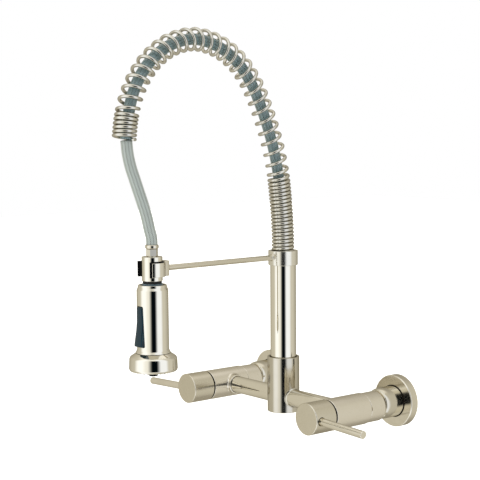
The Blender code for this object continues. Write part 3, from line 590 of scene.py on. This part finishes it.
def wall_side(side, sign, inward):
    """One flange with its bell, nut, valve body and boss. The profiles' heights are off the wall."""
    flange, bell = Extent(f"wall_flange_{side}"), Extent(f"inlet_union_{side}")
    nut, valve = Extent(f"coupling_nut_{side}"), Extent(f"valve_body_{side}")
    inlet = at(flange.middle.x, 0.0, flange.middle.z, OFF_WALL)
    flange_r, depth, dome_r = flange.radius, flange.size.y, bell.radius
    lip, recess = 0.0032, 0.0022
    turned(f"wall_flange_{side}_turned", [
        (flange_r, depth, 0.0011), (flange_r, 0.0, 0.0003), (flange_r - lip, 0.0),
        (flange_r - lip, depth - recess), (dome_r + CLEARANCE, depth - recess),
        (dome_r + CLEARANCE, depth, 0.0006),
    ], inlet, 192, "flange_nickel")
    shoulder = [(dome_r - rise, DOME_END - run) for rise, run in quarter_round(0.0022, 0.0075, 14)]
    turned(f"inlet_union_{side}_bell", [
        (0.0, DOME_END), *shoulder, (dome_r, 0.0008), (0.01, 0.0008, 0.0005),
        (0.01, 0.015), (0.0078, 0.015), (0.0078, 0.02), (0.0, 0.02),
    ], inlet, 192, "dome_nickel")
    # A near-black ring sunk round the bell where it meets the flange: painted shade in the gap.
    gap = lathe(f"flange_gap_{side}", [
        (dome_r + 0.0007, depth + 0.0006, 0.0002), (dome_r + 0.0009, depth - 0.0012),
        (dome_r - 0.0004, depth - 0.0012), (dome_r - 0.0004, depth + 0.0006),
    ], inlet, 128)
    finish_detail(gap, "fixed_body", "black_plastic", "painted_shade_brass")

    axis = at(nut.middle.x, 0.0, nut.middle.z, OFF_WALL)
    nut_low, nut_top, nut_r = -nut.top.y, -nut.low.y, nut.radius
    thread_r, socket_r, socket_back = 0.0114, 0.0135, 0.0385
    mark_z = nut.middle.z
    mark = prism_cutter((0.0018, 0.0018), -nut_top - 0.0004, -nut_top + 0.0009, 0.0003, mark_z,
                        mark_z + 0.0044, at(nut.middle.x + sign * (nut_r + 0.0004), 0.0, 0.0))
    turned(f"coupling_nut_{side}_turned", [
        (nut_r, nut_top, 0.0006), (nut_r, nut_low, 0.0024), (thread_r, nut_low), (thread_r, socket_back),
        (socket_r, socket_back), (socket_r, nut_top),
    ], axis, 160, "body_nickel", cutters=[mark])
    body_front, body_r = -valve.low.y - 0.0003, valve.size.z / 2
    inlet_r, inlet_end, passage_r = 0.0132, 0.0453, 0.0078
    bonnet_r, bonnet_seat = 0.0134, 0.0663
    turned(f"valve_body_{side}_turned", [
        (body_r, body_front, 0.0005), (body_r, BODY_BACK, 0.0007), (inlet_r, BODY_BACK),
        (inlet_r, inlet_end), (passage_r, inlet_end), (passage_r, bonnet_seat), (bonnet_r, bonnet_seat),
        (bonnet_r, body_front),
    ], axis, 192, "body_nickel")
    bridge = Extent(f"bridge_tube_{side}").middle
    crossing, boss_bore, boss_start = (nut.middle.x, bridge.y, bridge.z), 0.00975, 0.006
    boss = lathe(f"valve_boss_{side}", [
        (boss_bore, BOSS_END), (BOSS_R, BOSS_END, 0.0007), (BOSS_R, boss_start), (boss_bore, boss_start),
    ], at(*crossing, inward), 128, closed=False)
    weld = saddle_fillet(f"valve_weld_{side}", (0, 1, 0), body_r, (-sign, 0, 0), BOSS_R, 0.0011, crossing)
    for piece in (boss, weld):
        finish_detail(piece, "fixed_body", "satin_nickel", "body_nickel")


def handle(side, sign):
    """The cap with its lever, which droops a little towards its tip."""
    cap, lever, axis = (Extent(f"handle_cap_{side}"), Extent(f"lever_rod_{side}"),
                        Extent(f"coupling_nut_{side}").middle)
    outward = at(axis.x, lever.middle.y, axis.z,
                 Matrix.Rotation(sign * (pi / 2 + LEVER_DROOP), 4, "Y"))
    lever_r = (lever.top.y - lever.low.y) / 2
    reach = max(abs(lever.low.x), abs(lever.top.x)) - abs(axis.x)
    tip = (reach - lever_r * sin(LEVER_DROOP)) / cos(LEVER_DROOP)
    sink_end = 0.019
    sink = lathe("cutter", [(0.0, sink_end), (lever_r + 0.003, sink_end), (lever_r + 0.0003, 0.0156),
                            (0.0, 0.0156)], outward, 64)
    screw_hole = rod_cutter(0.0022, 0.0043, 0.03, at(axis.x, -0.1175, axis.z, Matrix.Rotation(pi, 4, "X")))
    front, back, cap_r = -cap.low.y, CAP_LIFT - cap.top.y, (cap.top.z - cap.low.z) / 2
    skirt_r, skirt_end, stem_r, stem_end = 0.0157, back + 0.0058, 0.0041, 0.1228
    turned(f"handle_cap_{side}_turned", [
        (0.0, front), (cap_r, front, 0.0009), (cap_r, back, 0.0004), (skirt_r, back),
        (skirt_r, skirt_end), (stem_r, skirt_end), (stem_r, stem_end), (0.0, stem_end),
    ], at(axis.x, 0.0, axis.z, OFF_WALL), 192,
        cutters=[rod_cutter(lever_r + 0.0004, 0.0057, sink_end, outward), sink, screw_hole])
    turned(f"lever_rod_{side}_turned", [
        (0.0, tip), (lever_r, tip, 0.0005), (lever_r, 0.006, 0.0004), (0.0, 0.006),
    ], outward, 96, "lever_nickel")


for SIDE, SIGN, _ in SIDES:
    wall_side(SIDE, SIGN, TO_RIGHT if SIGN < 0 else TO_LEFT)
    handle(SIDE, SIGN)


# ---- bridge, hub and riser ----
SPRING_R = 0.01242
TUBE_WALL = 0.0015


def middle_column():
    hub, bridge = Extent("hub_body"), Extent("bridge_tube_right")
    axis_y, hub_r, tube_r = hub.middle.y, hub.radius, bridge.size.z / 2
    axis = at(0.0, axis_y, 0.0)
    hub_bore, hub_floor = 0.0154, -0.012
    turned("hub_turned", [
        (hub_r, hub.top.z, 0.0005), (hub_r, hub.low.z, 0.0007), (0.0, hub.low.z), (0.0, hub_floor),
        (hub_bore, hub_floor), (hub_bore, hub.top.z, 0.0003),
    ], axis, 192, "brushed_nickel", node="hub_body",
        cutters=[rod_cutter(0.0023, 0.012, 0.025, at(0.0, axis_y, 0.032, TO_WALL))])
    crossing = (0.0, bridge.middle.y, bridge.middle.z)
    for side, sign, outward in SIDES:
        tube = Extent(f"bridge_tube_{side}")
        near, far = sorted((abs(tube.low.x), abs(tube.top.x)))
        turned(f"bridge_tube_{side}_drawn", [
            (tube_r, far), (tube_r, near), (tube_r - TUBE_WALL, near), (tube_r - TUBE_WALL, far),
        ], at(*crossing, outward), 128, "lever_nickel")
        weld = saddle_fillet(f"hub_weld_{side}", (0, 0, 1), hub_r, (sign, 0, 0), tube_r, 0.0014, crossing)
        finish_detail(weld, "fixed_body", "satin_nickel", "brushed_nickel")
    riser = Extent("riser_tube")
    riser_r, riser_bore = riser.radius, 0.0118
    turned("riser_tube_drawn", [
        (riser_r, riser.top.z), (riser_r, riser.low.z), (riser_bore, riser.low.z),
        (riser_bore, riser.top.z),
    ], axis, 224)
    fit_r = riser_r + CLEARANCE
    bush, bush_r = Extent("riser_bush"), 0.0151
    turned("riser_bush_turned", [
        (bush_r, bush.top.z, 0.0003), (bush_r, bush.low.z), (fit_r, bush.low.z), (fit_r, bush.top.z),
    ], axis, 128)
    collar = Extent("spring_collar")
    collar_r, ledge = collar.radius, riser.top.z + CLEARANCE
    turned("spring_collar_turned", [
        (collar_r, collar.top.z, 0.0005), (collar_r, collar.low.z, 0.0005), (fit_r, collar.low.z),
        (fit_r, ledge), (SPRING_R + CLEARANCE, ledge), (SPRING_R + CLEARANCE, collar.top.z, 0.0004),
    ], axis, 192, "collar_nickel")
    arm, arm_start = Extent("docking_arm"), 0.015
    arm_r, arm_z, reach = arm.radius, (arm.top.z + arm.low.z) / 2, axis_y - arm.low.y
    turned("docking_arm_turned", [(0.0, reach), (arm_r, reach), (arm_r, arm_start), (0.0, arm_start)],
           at(0.0, axis_y, arm_z, OFF_WALL), 96, "drawn_nickel")
    weld = saddle_fillet("arm_weld", (0, 0, 1), collar_r, (0, -1, 0), arm_r, 0.0012, (0.0, axis_y, arm_z))
    finish_detail(weld, "swivel_spout", "satin_nickel")


middle_column()


# ---- docking clip ----
def strip_outline(centreline, width, cap=8):
    """Both sides of a strip that follows an anticlockwise centreline, with half-round ends."""
    line = np.array(centreline, float)
    ahead = unit(np.gradient(line, axis=0))
    out = np.stack([ahead[:, 1], -ahead[:, 0]], 1)
    points = []
    for end, half in ((-1, width / 2), (0, -width / 2)):
        points += [tuple(p) for p in (line + out * half)[::1 if half > 0 else -1]]
        points += [tuple(line[end] + half * (out[end] * cos(a) + ahead[end] * sin(a)))
                   for a in (pi * k / cap for k in range(1, cap))]
    return points


def docking_clip():
    """A round spring clip on a boss, lined with black plastic that ends in two guide lips."""
    clip, liner = Extent("docking_clip"), Extent("clip_liner")
    outer, past = clip.radius, radians(36)
    wall, liner_wall, liner_r = 0.0015, 0.0009, 0.0118

    def bend(radius, end):
        """The back half of a circle round the head, and the angle end more at either side."""
        sweep, steps = pi + 2 * end, 96
        return [(radius * cos(a), HEAD_Y + radius * sin(a)) for a in
                (sweep * k / steps - end for k in range(steps + 1))]

    outline = strip_outline(bend(outer - wall / 2, past - 0.055), wall)
    strip = plate("docking_clip_bent", outline, clip.low.z + 0.0004, liner.top.z - 0.0014, 0.0004)
    finish_piece(strip, "docking_clip")
    middle = bend(liner_r - liner_wall / 2, past)
    tip_x, tip_y = 0.0111 - liner_wall / 2, liner.low.y + liner_wall / 2
    x, y = middle[0]
    lip = [(tip_x + (x - tip_x) * t, tip_y + (y - tip_y) * t) for t in (0.0, 0.25, 0.5, 0.75)]
    outline = strip_outline(lip + middle + [(-x, y) for x, y in reversed(lip)], liner_wall)
    lining = plate("clip_liner_moulded", outline, liner.low.z, liner.top.z, 0.0002)
    finish_piece(lining, "clip_liner")
    half, corner, back, front = 0.0044, 0.0022, clip.top.y, HEAD_Y + outer - 0.0012
    outline = [(half, front), *corner_arc(half - corner, back - corner, corner, 0, 8),
               *corner_arc(corner - half, back - corner, corner, 90, 8), (-half, front)]
    boss = plate("clip_boss", outline, clip.low.z, clip.top.z, 0.0009, 6)
    finish_detail(boss, "swivel_spout", "polished_nickel", "drawn_nickel")


docking_clip()


# ---- spring and hose ----
# The middles of the arch and of the hose below it, as (y, z).
ARCH = (
    (-0.0768, 0.1512), (-0.0769, 0.1700), (-0.0777, 0.1900), (-0.0797, 0.2130),
    (-0.0835, 0.2430), (-0.0896, 0.2690), (-0.0977, 0.2930), (-0.1078, 0.3168),
    (-0.1206, 0.3402), (-0.1392, 0.3620), (-0.1652, 0.3779), (-0.1955, 0.3842),
    (-0.2245, 0.3780), (-0.2475, 0.3637), (-0.2640, 0.3450), (-0.2747, 0.3247),
    (-0.2806, 0.3040), (-0.2833, 0.2844),
)
HOSE_DROP = (
    (-0.2808, 0.2826), (-0.2792, 0.2694), (-0.2760, 0.2565), (-0.2714, 0.2440),
    (-0.2665, 0.2310), (-0.2617, 0.2182), (-0.2574, 0.2053), (-0.2542, 0.1928),
    (-0.2520, 0.1855), (-0.2515, 0.1810),
)
HOSE_FOOT = 0.178
HOSE_LOW = 0.03
HOSE_LEAN = 0.0025              # how far the hose sags inside the arch's free end
HOSE_LEAN_LENGTH = 0.08
WIRE_R = 0.00178
CLOSE_PITCH = 0.00398
OPEN_PITCH = 0.0125
PITCH_LOSS = 0.0021             # how much tighter the open coils are at the free end
CLOSE_LENGTH = 0.0819
OPENING_LENGTH = 0.022
END_LENGTH = 0.023
CLOSING_LENGTH = 0.0078
SPRING_PHASE = 0.7474
STEPS_PER_TURN = 64
END_BEVEL = 0.0003


def smooth_route(points, pieces=16):
    """A Catmull-Rom curve through (y, z) points, as close (y, z) vectors."""
    knots = [Vector(point) for point in points]
    knots = [2 * knots[0] - knots[1]] + knots + [2 * knots[-1] - knots[-2]]
    route = []
    for before, start, end, after in zip(knots, knots[1:], knots[2:], knots[3:]):
        for i in range(pieces):
            t = i / pieces
            route.append(0.5 * (2 * start + (end - before) * t
                                + (2 * before - 5 * start + 4 * end - after) * t ** 2
                                + (3 * start - before - 3 * end + after) * t ** 3))
    route.append(knots[-2])
    return route


class Route:
    """A route in the plane X = 0 that is read by the distance along it."""

    def __init__(self, points):
        self.line = np.array([tuple(p) for p in smooth_route(points)])
        self.reach = travel_along(self.line)
        self.length = float(self.reach[-1])
        self.ahead = unit(np.gradient(self.line, axis=0))

    def read(self, table, distance):
        return np.array([np.interp(distance, self.reach, table[:, k]) for k in (0, 1)])

    def at(self, distance):
        """The point, and the unit vector to the curve's inner side, at a distance."""
        ahead = unit(self.read(self.ahead, distance))
        return self.read(self.line, distance), np.array((-ahead[1], ahead[0]))


ARCH_ROUTE = Route(ARCH)


def smooth(share):
    share = min(max(share, 0.0), 1.0)
    return share * share * (3 - 2 * share)


def coil_pitch(distance):
    """Close-wound for twenty turns, open over the arch, close-wound again at the free end."""
    open_end = ARCH_ROUTE.length - END_LENGTH
    opened = OPEN_PITCH - PITCH_LOSS * (distance - CLOSE_LENGTH) / (open_end - CLOSE_LENGTH)
    share = min((distance - CLOSE_LENGTH) / OPENING_LENGTH, (open_end - distance) / CLOSING_LENGTH)
    return CLOSE_PITCH + (opened - CLOSE_PITCH) * smooth(share)


def support_spring():
    radius = SPRING_R - WIRE_R
    distance, step, points = 0.0, 0, []
    while distance <= ARCH_ROUTE.length:
        if step % 2 == 0:
            centre, inner = ARCH_ROUTE.at(distance)
            angle = TURN * (step / STEPS_PER_TURN - SPRING_PHASE)
            points.append((radius * sin(angle), *(centre + inner * radius * cos(angle))))
        step += 1
        distance += coil_pitch(distance) / STEPS_PER_TURN
    spring = sweep("support_spring_wound", points, WIRE_R, 16, 0.0002)
    finish_piece(spring, "support_spring", ride=False)
    bend_with_arch(spring)


def bend_with_arch(piece):
    """Bakes the piece's placement into its mesh."""
    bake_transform(piece)


def hose(ends):
    """One tube inside the spring, and the cord that hangs from the arch down to its fitting."""
    inside = [(0.0, ARCH[0][0], z) for z in np.linspace(HOSE_LOW, ARCH[0][1] - 0.001, 24)]
    for distance in np.linspace(0.0, ARCH_ROUTE.length, 220):
        centre, inner = ARCH_ROUTE.at(distance)
        share = (distance - ARCH_ROUTE.length + HOSE_LEAN_LENGTH) / HOSE_LEAN_LENGTH
        inside.append((0.0, *(centre + inner * HOSE_LEAN * smooth(share))))
    upper = sweep("hose_inside_tube", inside, HOSE_R, 40, END_BEVEL)
    # The tube inside the spring wears the darker copy of the hose: painted shade.
    finish_piece(upper, "hose_inside", "braided_hose_painted_shade", ride=False)
    bend_with_arch(upper)
    drop = Route(HOSE_DROP)
    path = [(0.0, *drop.read(drop.line, distance)) for distance in np.linspace(0.0, drop.length, 60)]
    path += [(0.0, HEAD_Y, z) for z in np.linspace(HOSE_DROP[-1][1], HOSE_FOOT, 4)[1:]]
    lower = sweep("hose_drop_tube", path, HOSE_R, 48, END_BEVEL)
    finish_piece(lower, "hose_drop", ride=False)
    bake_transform(lower)


def hose_connector():
    """The fitting on the hose's end: a ferrule, and a hexagonal nut on the head's neck."""
    box = Extent("hose_ferrule")
    wide, low, top = box.radius, box.low.z, box.top.z
    ferrule = turned("hose_ferrule_turned", [
        (0.0, top), (wide - 0.0006, top, 0.0003), (wide, top - 0.0007, 0.0006),
        (wide, low + 0.0008, 0.0006), (wide - 0.0008, low, 0.0004), (0.0, low),
    ], HEAD_AXIS, 96, "drawn_nickel")
    box, base = Extent("hose_nut"), Extent("head_neck").top.z + CLEARANCE
    corner_r, corner_turn, corner_cut, first_corner = 0.00625, 0.035, 0.55, radians(8)
    outline = []
    for corner in (TURN * k / 6 + first_corner for k in range(6)):
        for turn in (-corner_turn, 0.0, corner_turn):
            r, a = corner_r * (1 - corner_cut * abs(turn)), corner + turn
            outline.append((r * cos(a), HEAD_Y + r * sin(a)))
    nut = finish_piece(plate("hose_nut_hex", outline, base, box.top.z, 0.00035, 3), "hose_nut")
    spigot_r, spigot_top = 0.005, base + 0.001
    spigot = lathe("hose_spigot", [(0.0, spigot_top), (spigot_r, spigot_top), (spigot_r, box.low.z),
                                   (0.0, box.low.z)], HEAD_AXIS, 48)
    finish_detail(spigot, "hose_end", "polished_nickel")
    return [ferrule, nut]


support_spring()
hose(hose_connector())


# ---- spray head ----
PADDLE_BACK = 0.0128


def spray_head():
    neck = Extent("head_neck")
    low, top = neck.low.z, neck.top.z
    neck_r, neck_bore, seat, throat = neck.radius, 0.0075, 0.156, 0.0053
    turned("head_neck_turned", [
        (neck_r, top, 0.0007), (neck_r, low, 0.0006), (neck_bore, low), (neck_bore, seat),
        (throat, seat + 0.0009), (throat, top, 0.0003),
    ], HEAD_AXIS, 160)
    bore = 0.0056
    low, top = heights("neck_gasket")
    turned("neck_gasket_ring", [(0.0097, top, 0.0004), (0.0097, low, 0.0004), (bore, low), (bore, top)],
           HEAD_AXIS, 96)
    low, top = heights("neck_ring")
    turned("neck_ring_turned", [(0.0105, top, 0.0005), (0.0105, low), (bore, low), (bore, top, 0.0003)],
           HEAD_AXIS, 128)
    low, top = heights("head_shell")
    paddle = Extent("trigger_paddle")
    slot = prism_cutter((0.0068, 0.005), paddle.low.z - 0.0006, paddle.top.z + 0.0006, 0.0016,
                        0.008, 0.03, at(0.0, HEAD_Y, 0.0, OFF_WALL))
    turned("head_shell_turned", [
        (0.0125, top, 0.0003), (0.0145, top, 0.0005), (0.0149, 0.1347, 0.0004), (0.0161, 0.1321, 0.0005),
        (0.01635, 0.0712, 0.004), (0.018, low + 0.0001, 0.0002), (0.0178, low), (0.01455, low),
        (0.01425, 0.131), (0.0125, 0.1357),
    ], HEAD_AXIS, 224, cutters=[slot], arc=10)
    ring = Extent("face_ring")
    low, top, ring_r = ring.low.z, ring.top.z, ring.radius
    face_r, seat_r, face_seat = 0.0222, 0.016, 0.06
    turned("face_ring_turned", [
        (0.018, top, 0.0002), (0.0243, top - 0.0041, 0.004), (ring_r, low + 0.0022, 0.001),
        (ring_r - 0.001, low, 0.0007), (face_r, low, 0.0003), (face_r, face_seat), (seat_r, 0.0654),
        (seat_r, top),
    ], HEAD_AXIS, 224, arc=10)
    low, top = heights("aerator")
    turned("aerator_turned", [
        (0.0057, top), (0.0057, 0.0518, 0.0003), (0.0045, 0.051, 0.0003), (0.0045, low, 0.0004),
        (0.0028, low, 0.0003), (0.0028, top),
    ], HEAD_AXIS, 96)
    spray_plate()


def spray_plate():
    """The rubber face with three rings of small nozzles."""
    low, top = heights("spray_plate")
    rim_r, hole_r, sides = 0.0219, 0.006, 14
    turned("spray_plate_disc", [(rim_r, top), (rim_r, low, 0.0003), (hole_r, low, 0.0003), (hole_r, top)],
           HEAD_AXIS, 128)
    nozzle = ((0.00125, low + 0.0001), (0.00095, low - 0.002), (0.0007, low - 0.0028),
              (0.00038, low - 0.0028), (0.0003, low - 0.0012))
    vertices, faces = [], []
    for count, radius in ((14, 0.01), (20, 0.0146), (28, 0.0192)):
        for i in range(count):
            a, start = TURN * i / count, len(vertices)
            x, y = radius * cos(a), HEAD_Y + radius * sin(a)
            vertices += [(x + r * cos(b), y + r * sin(b), z) for r, z in nozzle
                         for b in (TURN * k / sides for k in range(sides))]
            faces += grid(len(nozzle), sides, start=start)[0]
            faces.append(tuple(reversed(range(start + 4 * sides, start + 5 * sides))))
    nozzles = mesh_object("spray_nozzles", vertices, faces, [(0.0, 0.0)] * sum(map(len, faces)))
    nozzles.data.set_sharp_from_angle(angle=radians(35))
    finish_detail(nozzles, "spray_head", "rubber", "nozzle_rubber")


def trigger_paddle():
    """A tapered thumb paddle: a ribbed front with rounded edges, and a flat back."""
    low, top = heights("trigger_paddle")
    # How far the front stands out from the head's axis, by height.
    front = np.array(((0.0174, top), (0.0176, top - 0.002), (0.0174, 0.106), (0.0174, 0.1),
                      (0.018, 0.092), (0.0191, 0.084), (0.0199, 0.078), (0.0201, low)))
    columns, rows, round_r, corner = 57, 120, 0.0016, 0.0019
    top_half, widening, crown = 0.0045, 0.0018, 0.0007

    def rounding(radius, inset):
        """How far a rounded edge has fallen away at this distance in from it."""
        return radius - sqrt(max(radius ** 2 - max(radius - inset, 0.0) ** 2, 0.0))

    vertices = []
    for z in top - (top - low) * (1 - np.cos(np.linspace(0, pi, rows))) / 2:
        half = top_half + widening * ((top - z) / (top - low))
        end = min(top - z, z - low)
        edge_x = half - rounding(corner, end)
        out = float(np.interp(-z, -front[:, 1], front[:, 0]))
        for c in range(columns):
            x = sin(pi / 2 * (2 * c / (columns - 1) - 1)) * edge_x
            fall = rounding(round_r, min(edge_x - abs(x), end))
            vertices.append((x, HEAD_Y - out + fall + crown * (x / half) ** 2, z))
    faces = grid(rows, columns, wrap=False)[0]
    rim = [*range(columns), *(i * columns + columns - 1 for i in range(1, rows)),
           *((rows - 1) * columns + c for c in range(columns - 2, -1, -1)),
           *(i * columns for i in range(rows - 2, 0, -1))]
    start, n = len(vertices), len(rim)
    vertices += [(vertices[index][0], HEAD_Y - PADDLE_BACK, vertices[index][2]) for index in rim]
    for k in range(n):
        m = (k + 1) % n
        faces.append((rim[k], rim[m], start + m, start + k))
    faces.append(tuple(reversed(range(start, start + n))))
    paddle = mesh_object("trigger_paddle_moulded", vertices, faces)
    paddle.data.set_sharp_from_angle(angle=radians(55))
    finish_piece(paddle, "trigger_paddle")


def diverter_spring():
    """The small return spring behind the paddle."""
    low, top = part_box("valve_spring")
    wire, turns, steps = 0.0003, 3.5, 84
    radius, middle, span = (top.z - low.z) / 2 - wire, (low.z + top.z) / 2, top.y - low.y - 2 * wire
    points = []
    for k in range(steps + 1):
        a, share = TURN * turns * k / steps, k / steps
        points.append((radius * cos(a), top.y - wire - share * span, middle + radius * sin(a)))
    spring = sweep("valve_spring_wound", points, wire, 12, 0.00005)
    finish_piece(spring, "valve_spring")
    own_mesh(spring)


spray_head()
trigger_paddle()
diverter_spring()


# ---- camera, floor and light ----
def camera():
    """The photograph's view: standing off to the right, a little above the arm's height."""
    yaw, pitch, roll = radians(50.93), radians(-5.37), radians(-0.36)
    right = Vector((cos(yaw), sin(yaw), 0.0))
    ahead = Vector((-sin(yaw) * cos(pitch), cos(yaw) * cos(pitch), sin(pitch)))
    up = right.cross(ahead)
    side = right * cos(roll) + up * sin(roll)
    top = up * cos(roll) - right * sin(roll)
    data = bpy.data.cameras.new("camera")
    data.lens = 99.15
    data.sensor_width = 36.0
    made = bpy.data.objects.new("camera", data)
    SCENE.collection.objects.link(made)
    made.matrix_world = Matrix.Translation((1.08456, -1.01763, 0.30628)) @ Matrix(
        (side, top, -ahead)).transposed().to_4x4()
    SCENE.camera = made


def floor():
    size, level, white = 6.0, -0.3, (1.0, 1.0, 1.0)
    made = mesh_object("floor", [(-size, -size, level), (size, -size, level), (size, size, level),
                                 (-size, size, level)], [(0, 1, 2, 3)])
    pale = Paint("floor_paint", (0.93, 0.93, 0.92), 0.9, Emission_Strength=0.6, Emission_Color=white)
    grain = pale.noise("Object", (14.0, 14.0, 14.0), 4.0)
    pale.feed(pale.shader.inputs["Base Color"], pale.mix(grain, (0.92, 0.92, 0.91), (0.95, 0.95, 0.94)))
    made.data.materials.append(pale.material)
    made.visible_glossy = False


TENT_R = 0.84
TENT_LOW, TENT_TOP = -3.0, 2.1
TENT_HALL = (0.68, 0.645, 0.545)        # the cloth in front of the wall, all round
TENT_WALL = (0.52, 0.49, 0.42)          # the cloth behind the object
TENT_ROOF = (1.12, 1.08, 1.00)
SOFT_EDGE = 0.14                        # of a window's lowest and highest z
# The windows and, last, the dark panel, each over the rows before it: the azimuths where it
# starts, is full, starts to fade and ends, in degrees from the front; its z range; its colour.
SOFTBOXES = (
    (100.0, 118.0, 135.0, 185.0, -1.1, 1.9, (0.71, 0.68, 0.59)),
    (-38.0, -10.0, 59.0, 60.0, -1.1, 1.9, (1.06, 1.05, 0.99)),
    (-38.0, -12.0, -2.0, 20.0, -1.1, 1.9, (1.28, 1.3, 1.33)),
    (58.0, 59.0, 103.0, 125.0, -1.1, 1.9, (1.11, 1.15, 1.24)),
    (19.5, 41.5, 59.0, 80.5, -0.34, 0.74, (0.001, 0.003, 0.005)),
)


def tent():
    """A round light tent, which only lights the object and shows in its metal.

    It has soft windows at the front and the right, a dark panel over them, a bright roof and a
    dimmer foot.
    """
    count, axis_y = 96, Extent("riser_tube").middle.y
    vertices = [(TENT_R * cos(a), axis_y + TENT_R * sin(a), z)
                for z in (TENT_LOW, TENT_TOP) for a in (TURN * i / count for i in range(count))]
    made = mesh_object("light_tent", vertices, grid(2, count)[0])
    cloth = bpy.data.materials.new("tent_light")
    cloth.use_nodes = True
    cloth.node_tree.nodes.clear()
    cloth.cycles.emission_sampling = "NONE"
    nodes = Nodes(cloth.node_tree)
    x, y, z = nodes.axes("Object")
    front = nodes.math("MULTIPLY", nodes.math("SUBTRACT", y, axis_y), -1.0)
    azimuth = nodes.math("MULTIPLY", nodes.math("ARCTAN2", x, front), 180 / pi)
    rear = nodes.step(nodes.math("ABSOLUTE", azimuth), 90.0, 180.0)
    level = nodes.mix(rear, TENT_HALL, TENT_WALL)
    level = nodes.mix(nodes.step(z, 0.7, 1.6), level, TENT_ROOF)
    for start, full, fade, end, low, top, power in SOFTBOXES:
        height = nodes.window(z, low - SOFT_EDGE, low + SOFT_EDGE, top - SOFT_EDGE, top + SOFT_EDGE)
        mask = nodes.math("MULTIPLY", nodes.window(azimuth, start, full, fade, end), height)
        level = nodes.mix(mask, level, power)
    strength = nodes.step(z, -1.8, -0.45, 0.82, 1.0)
    glow = nodes.add("ShaderNodeEmission", {"Color": level, "Strength": strength})
    nodes.add("ShaderNodeOutputMaterial", {"Surface": glow.outputs[0]})
    made.data.materials.append(cloth)
    made.visible_camera = False


def sky():
    """A plain room: soft light from above and below the tent, and pure white for the camera."""
    world = bpy.data.worlds.new("room")
    SCENE.world = world
    world.use_nodes = True
    nodes = Nodes(world.node_tree)
    lit = nodes.tree.nodes["Background"]
    nodes.feed(lit.inputs["Color"], (1.05, 1.04, 0.98))
    seen = nodes.add("ShaderNodeBackground", {"Color": (1.0, 1.0, 1.0)})
    ray = nodes.add("ShaderNodeLightPath").outputs["Is Camera Ray"]
    joined = nodes.add("ShaderNodeMixShader", {0: ray, 1: lit.outputs[0], 2: seen.outputs[0]})
    nodes.feed(nodes.tree.nodes["World Output"].inputs["Surface"], joined.outputs[0])
    SCENE.view_settings.view_transform = "Standard"


camera()
floor()
tent()
sky()
